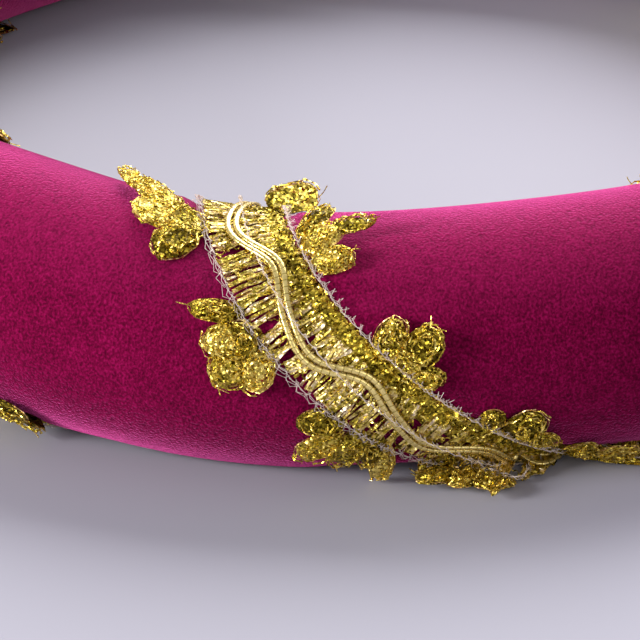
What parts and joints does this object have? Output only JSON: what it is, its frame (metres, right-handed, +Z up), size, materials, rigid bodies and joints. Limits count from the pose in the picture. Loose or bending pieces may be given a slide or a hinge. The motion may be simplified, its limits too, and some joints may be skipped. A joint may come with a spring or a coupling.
{
  "type": "velvet headdress",
  "caption": "Ring-shaped headdress: a stuffed velvet roll closed into a circle, with a gold leaf braid wound spirally round it.",
  "frame": {"origin": "centre of the ring, on the surface that it rests on", "axes": "+Z up through the head opening; -Y towards the front of the picture"},
  "size_m": [0.2807, 0.279, 0.0492],
  "materials": {
    "velvet": "soft short-pile raspberry velvet",
    "gold_braid": "glittering crinkled gold metal thread",
    "gimp": "satin pale gold wrapped cord"
  },
  "bodies": {
    "root": {"velvet_roll": "velvet", "leaf_braid": "gold_braid", "gimp_cords": "gimp"}
  },
  "joints": []
}
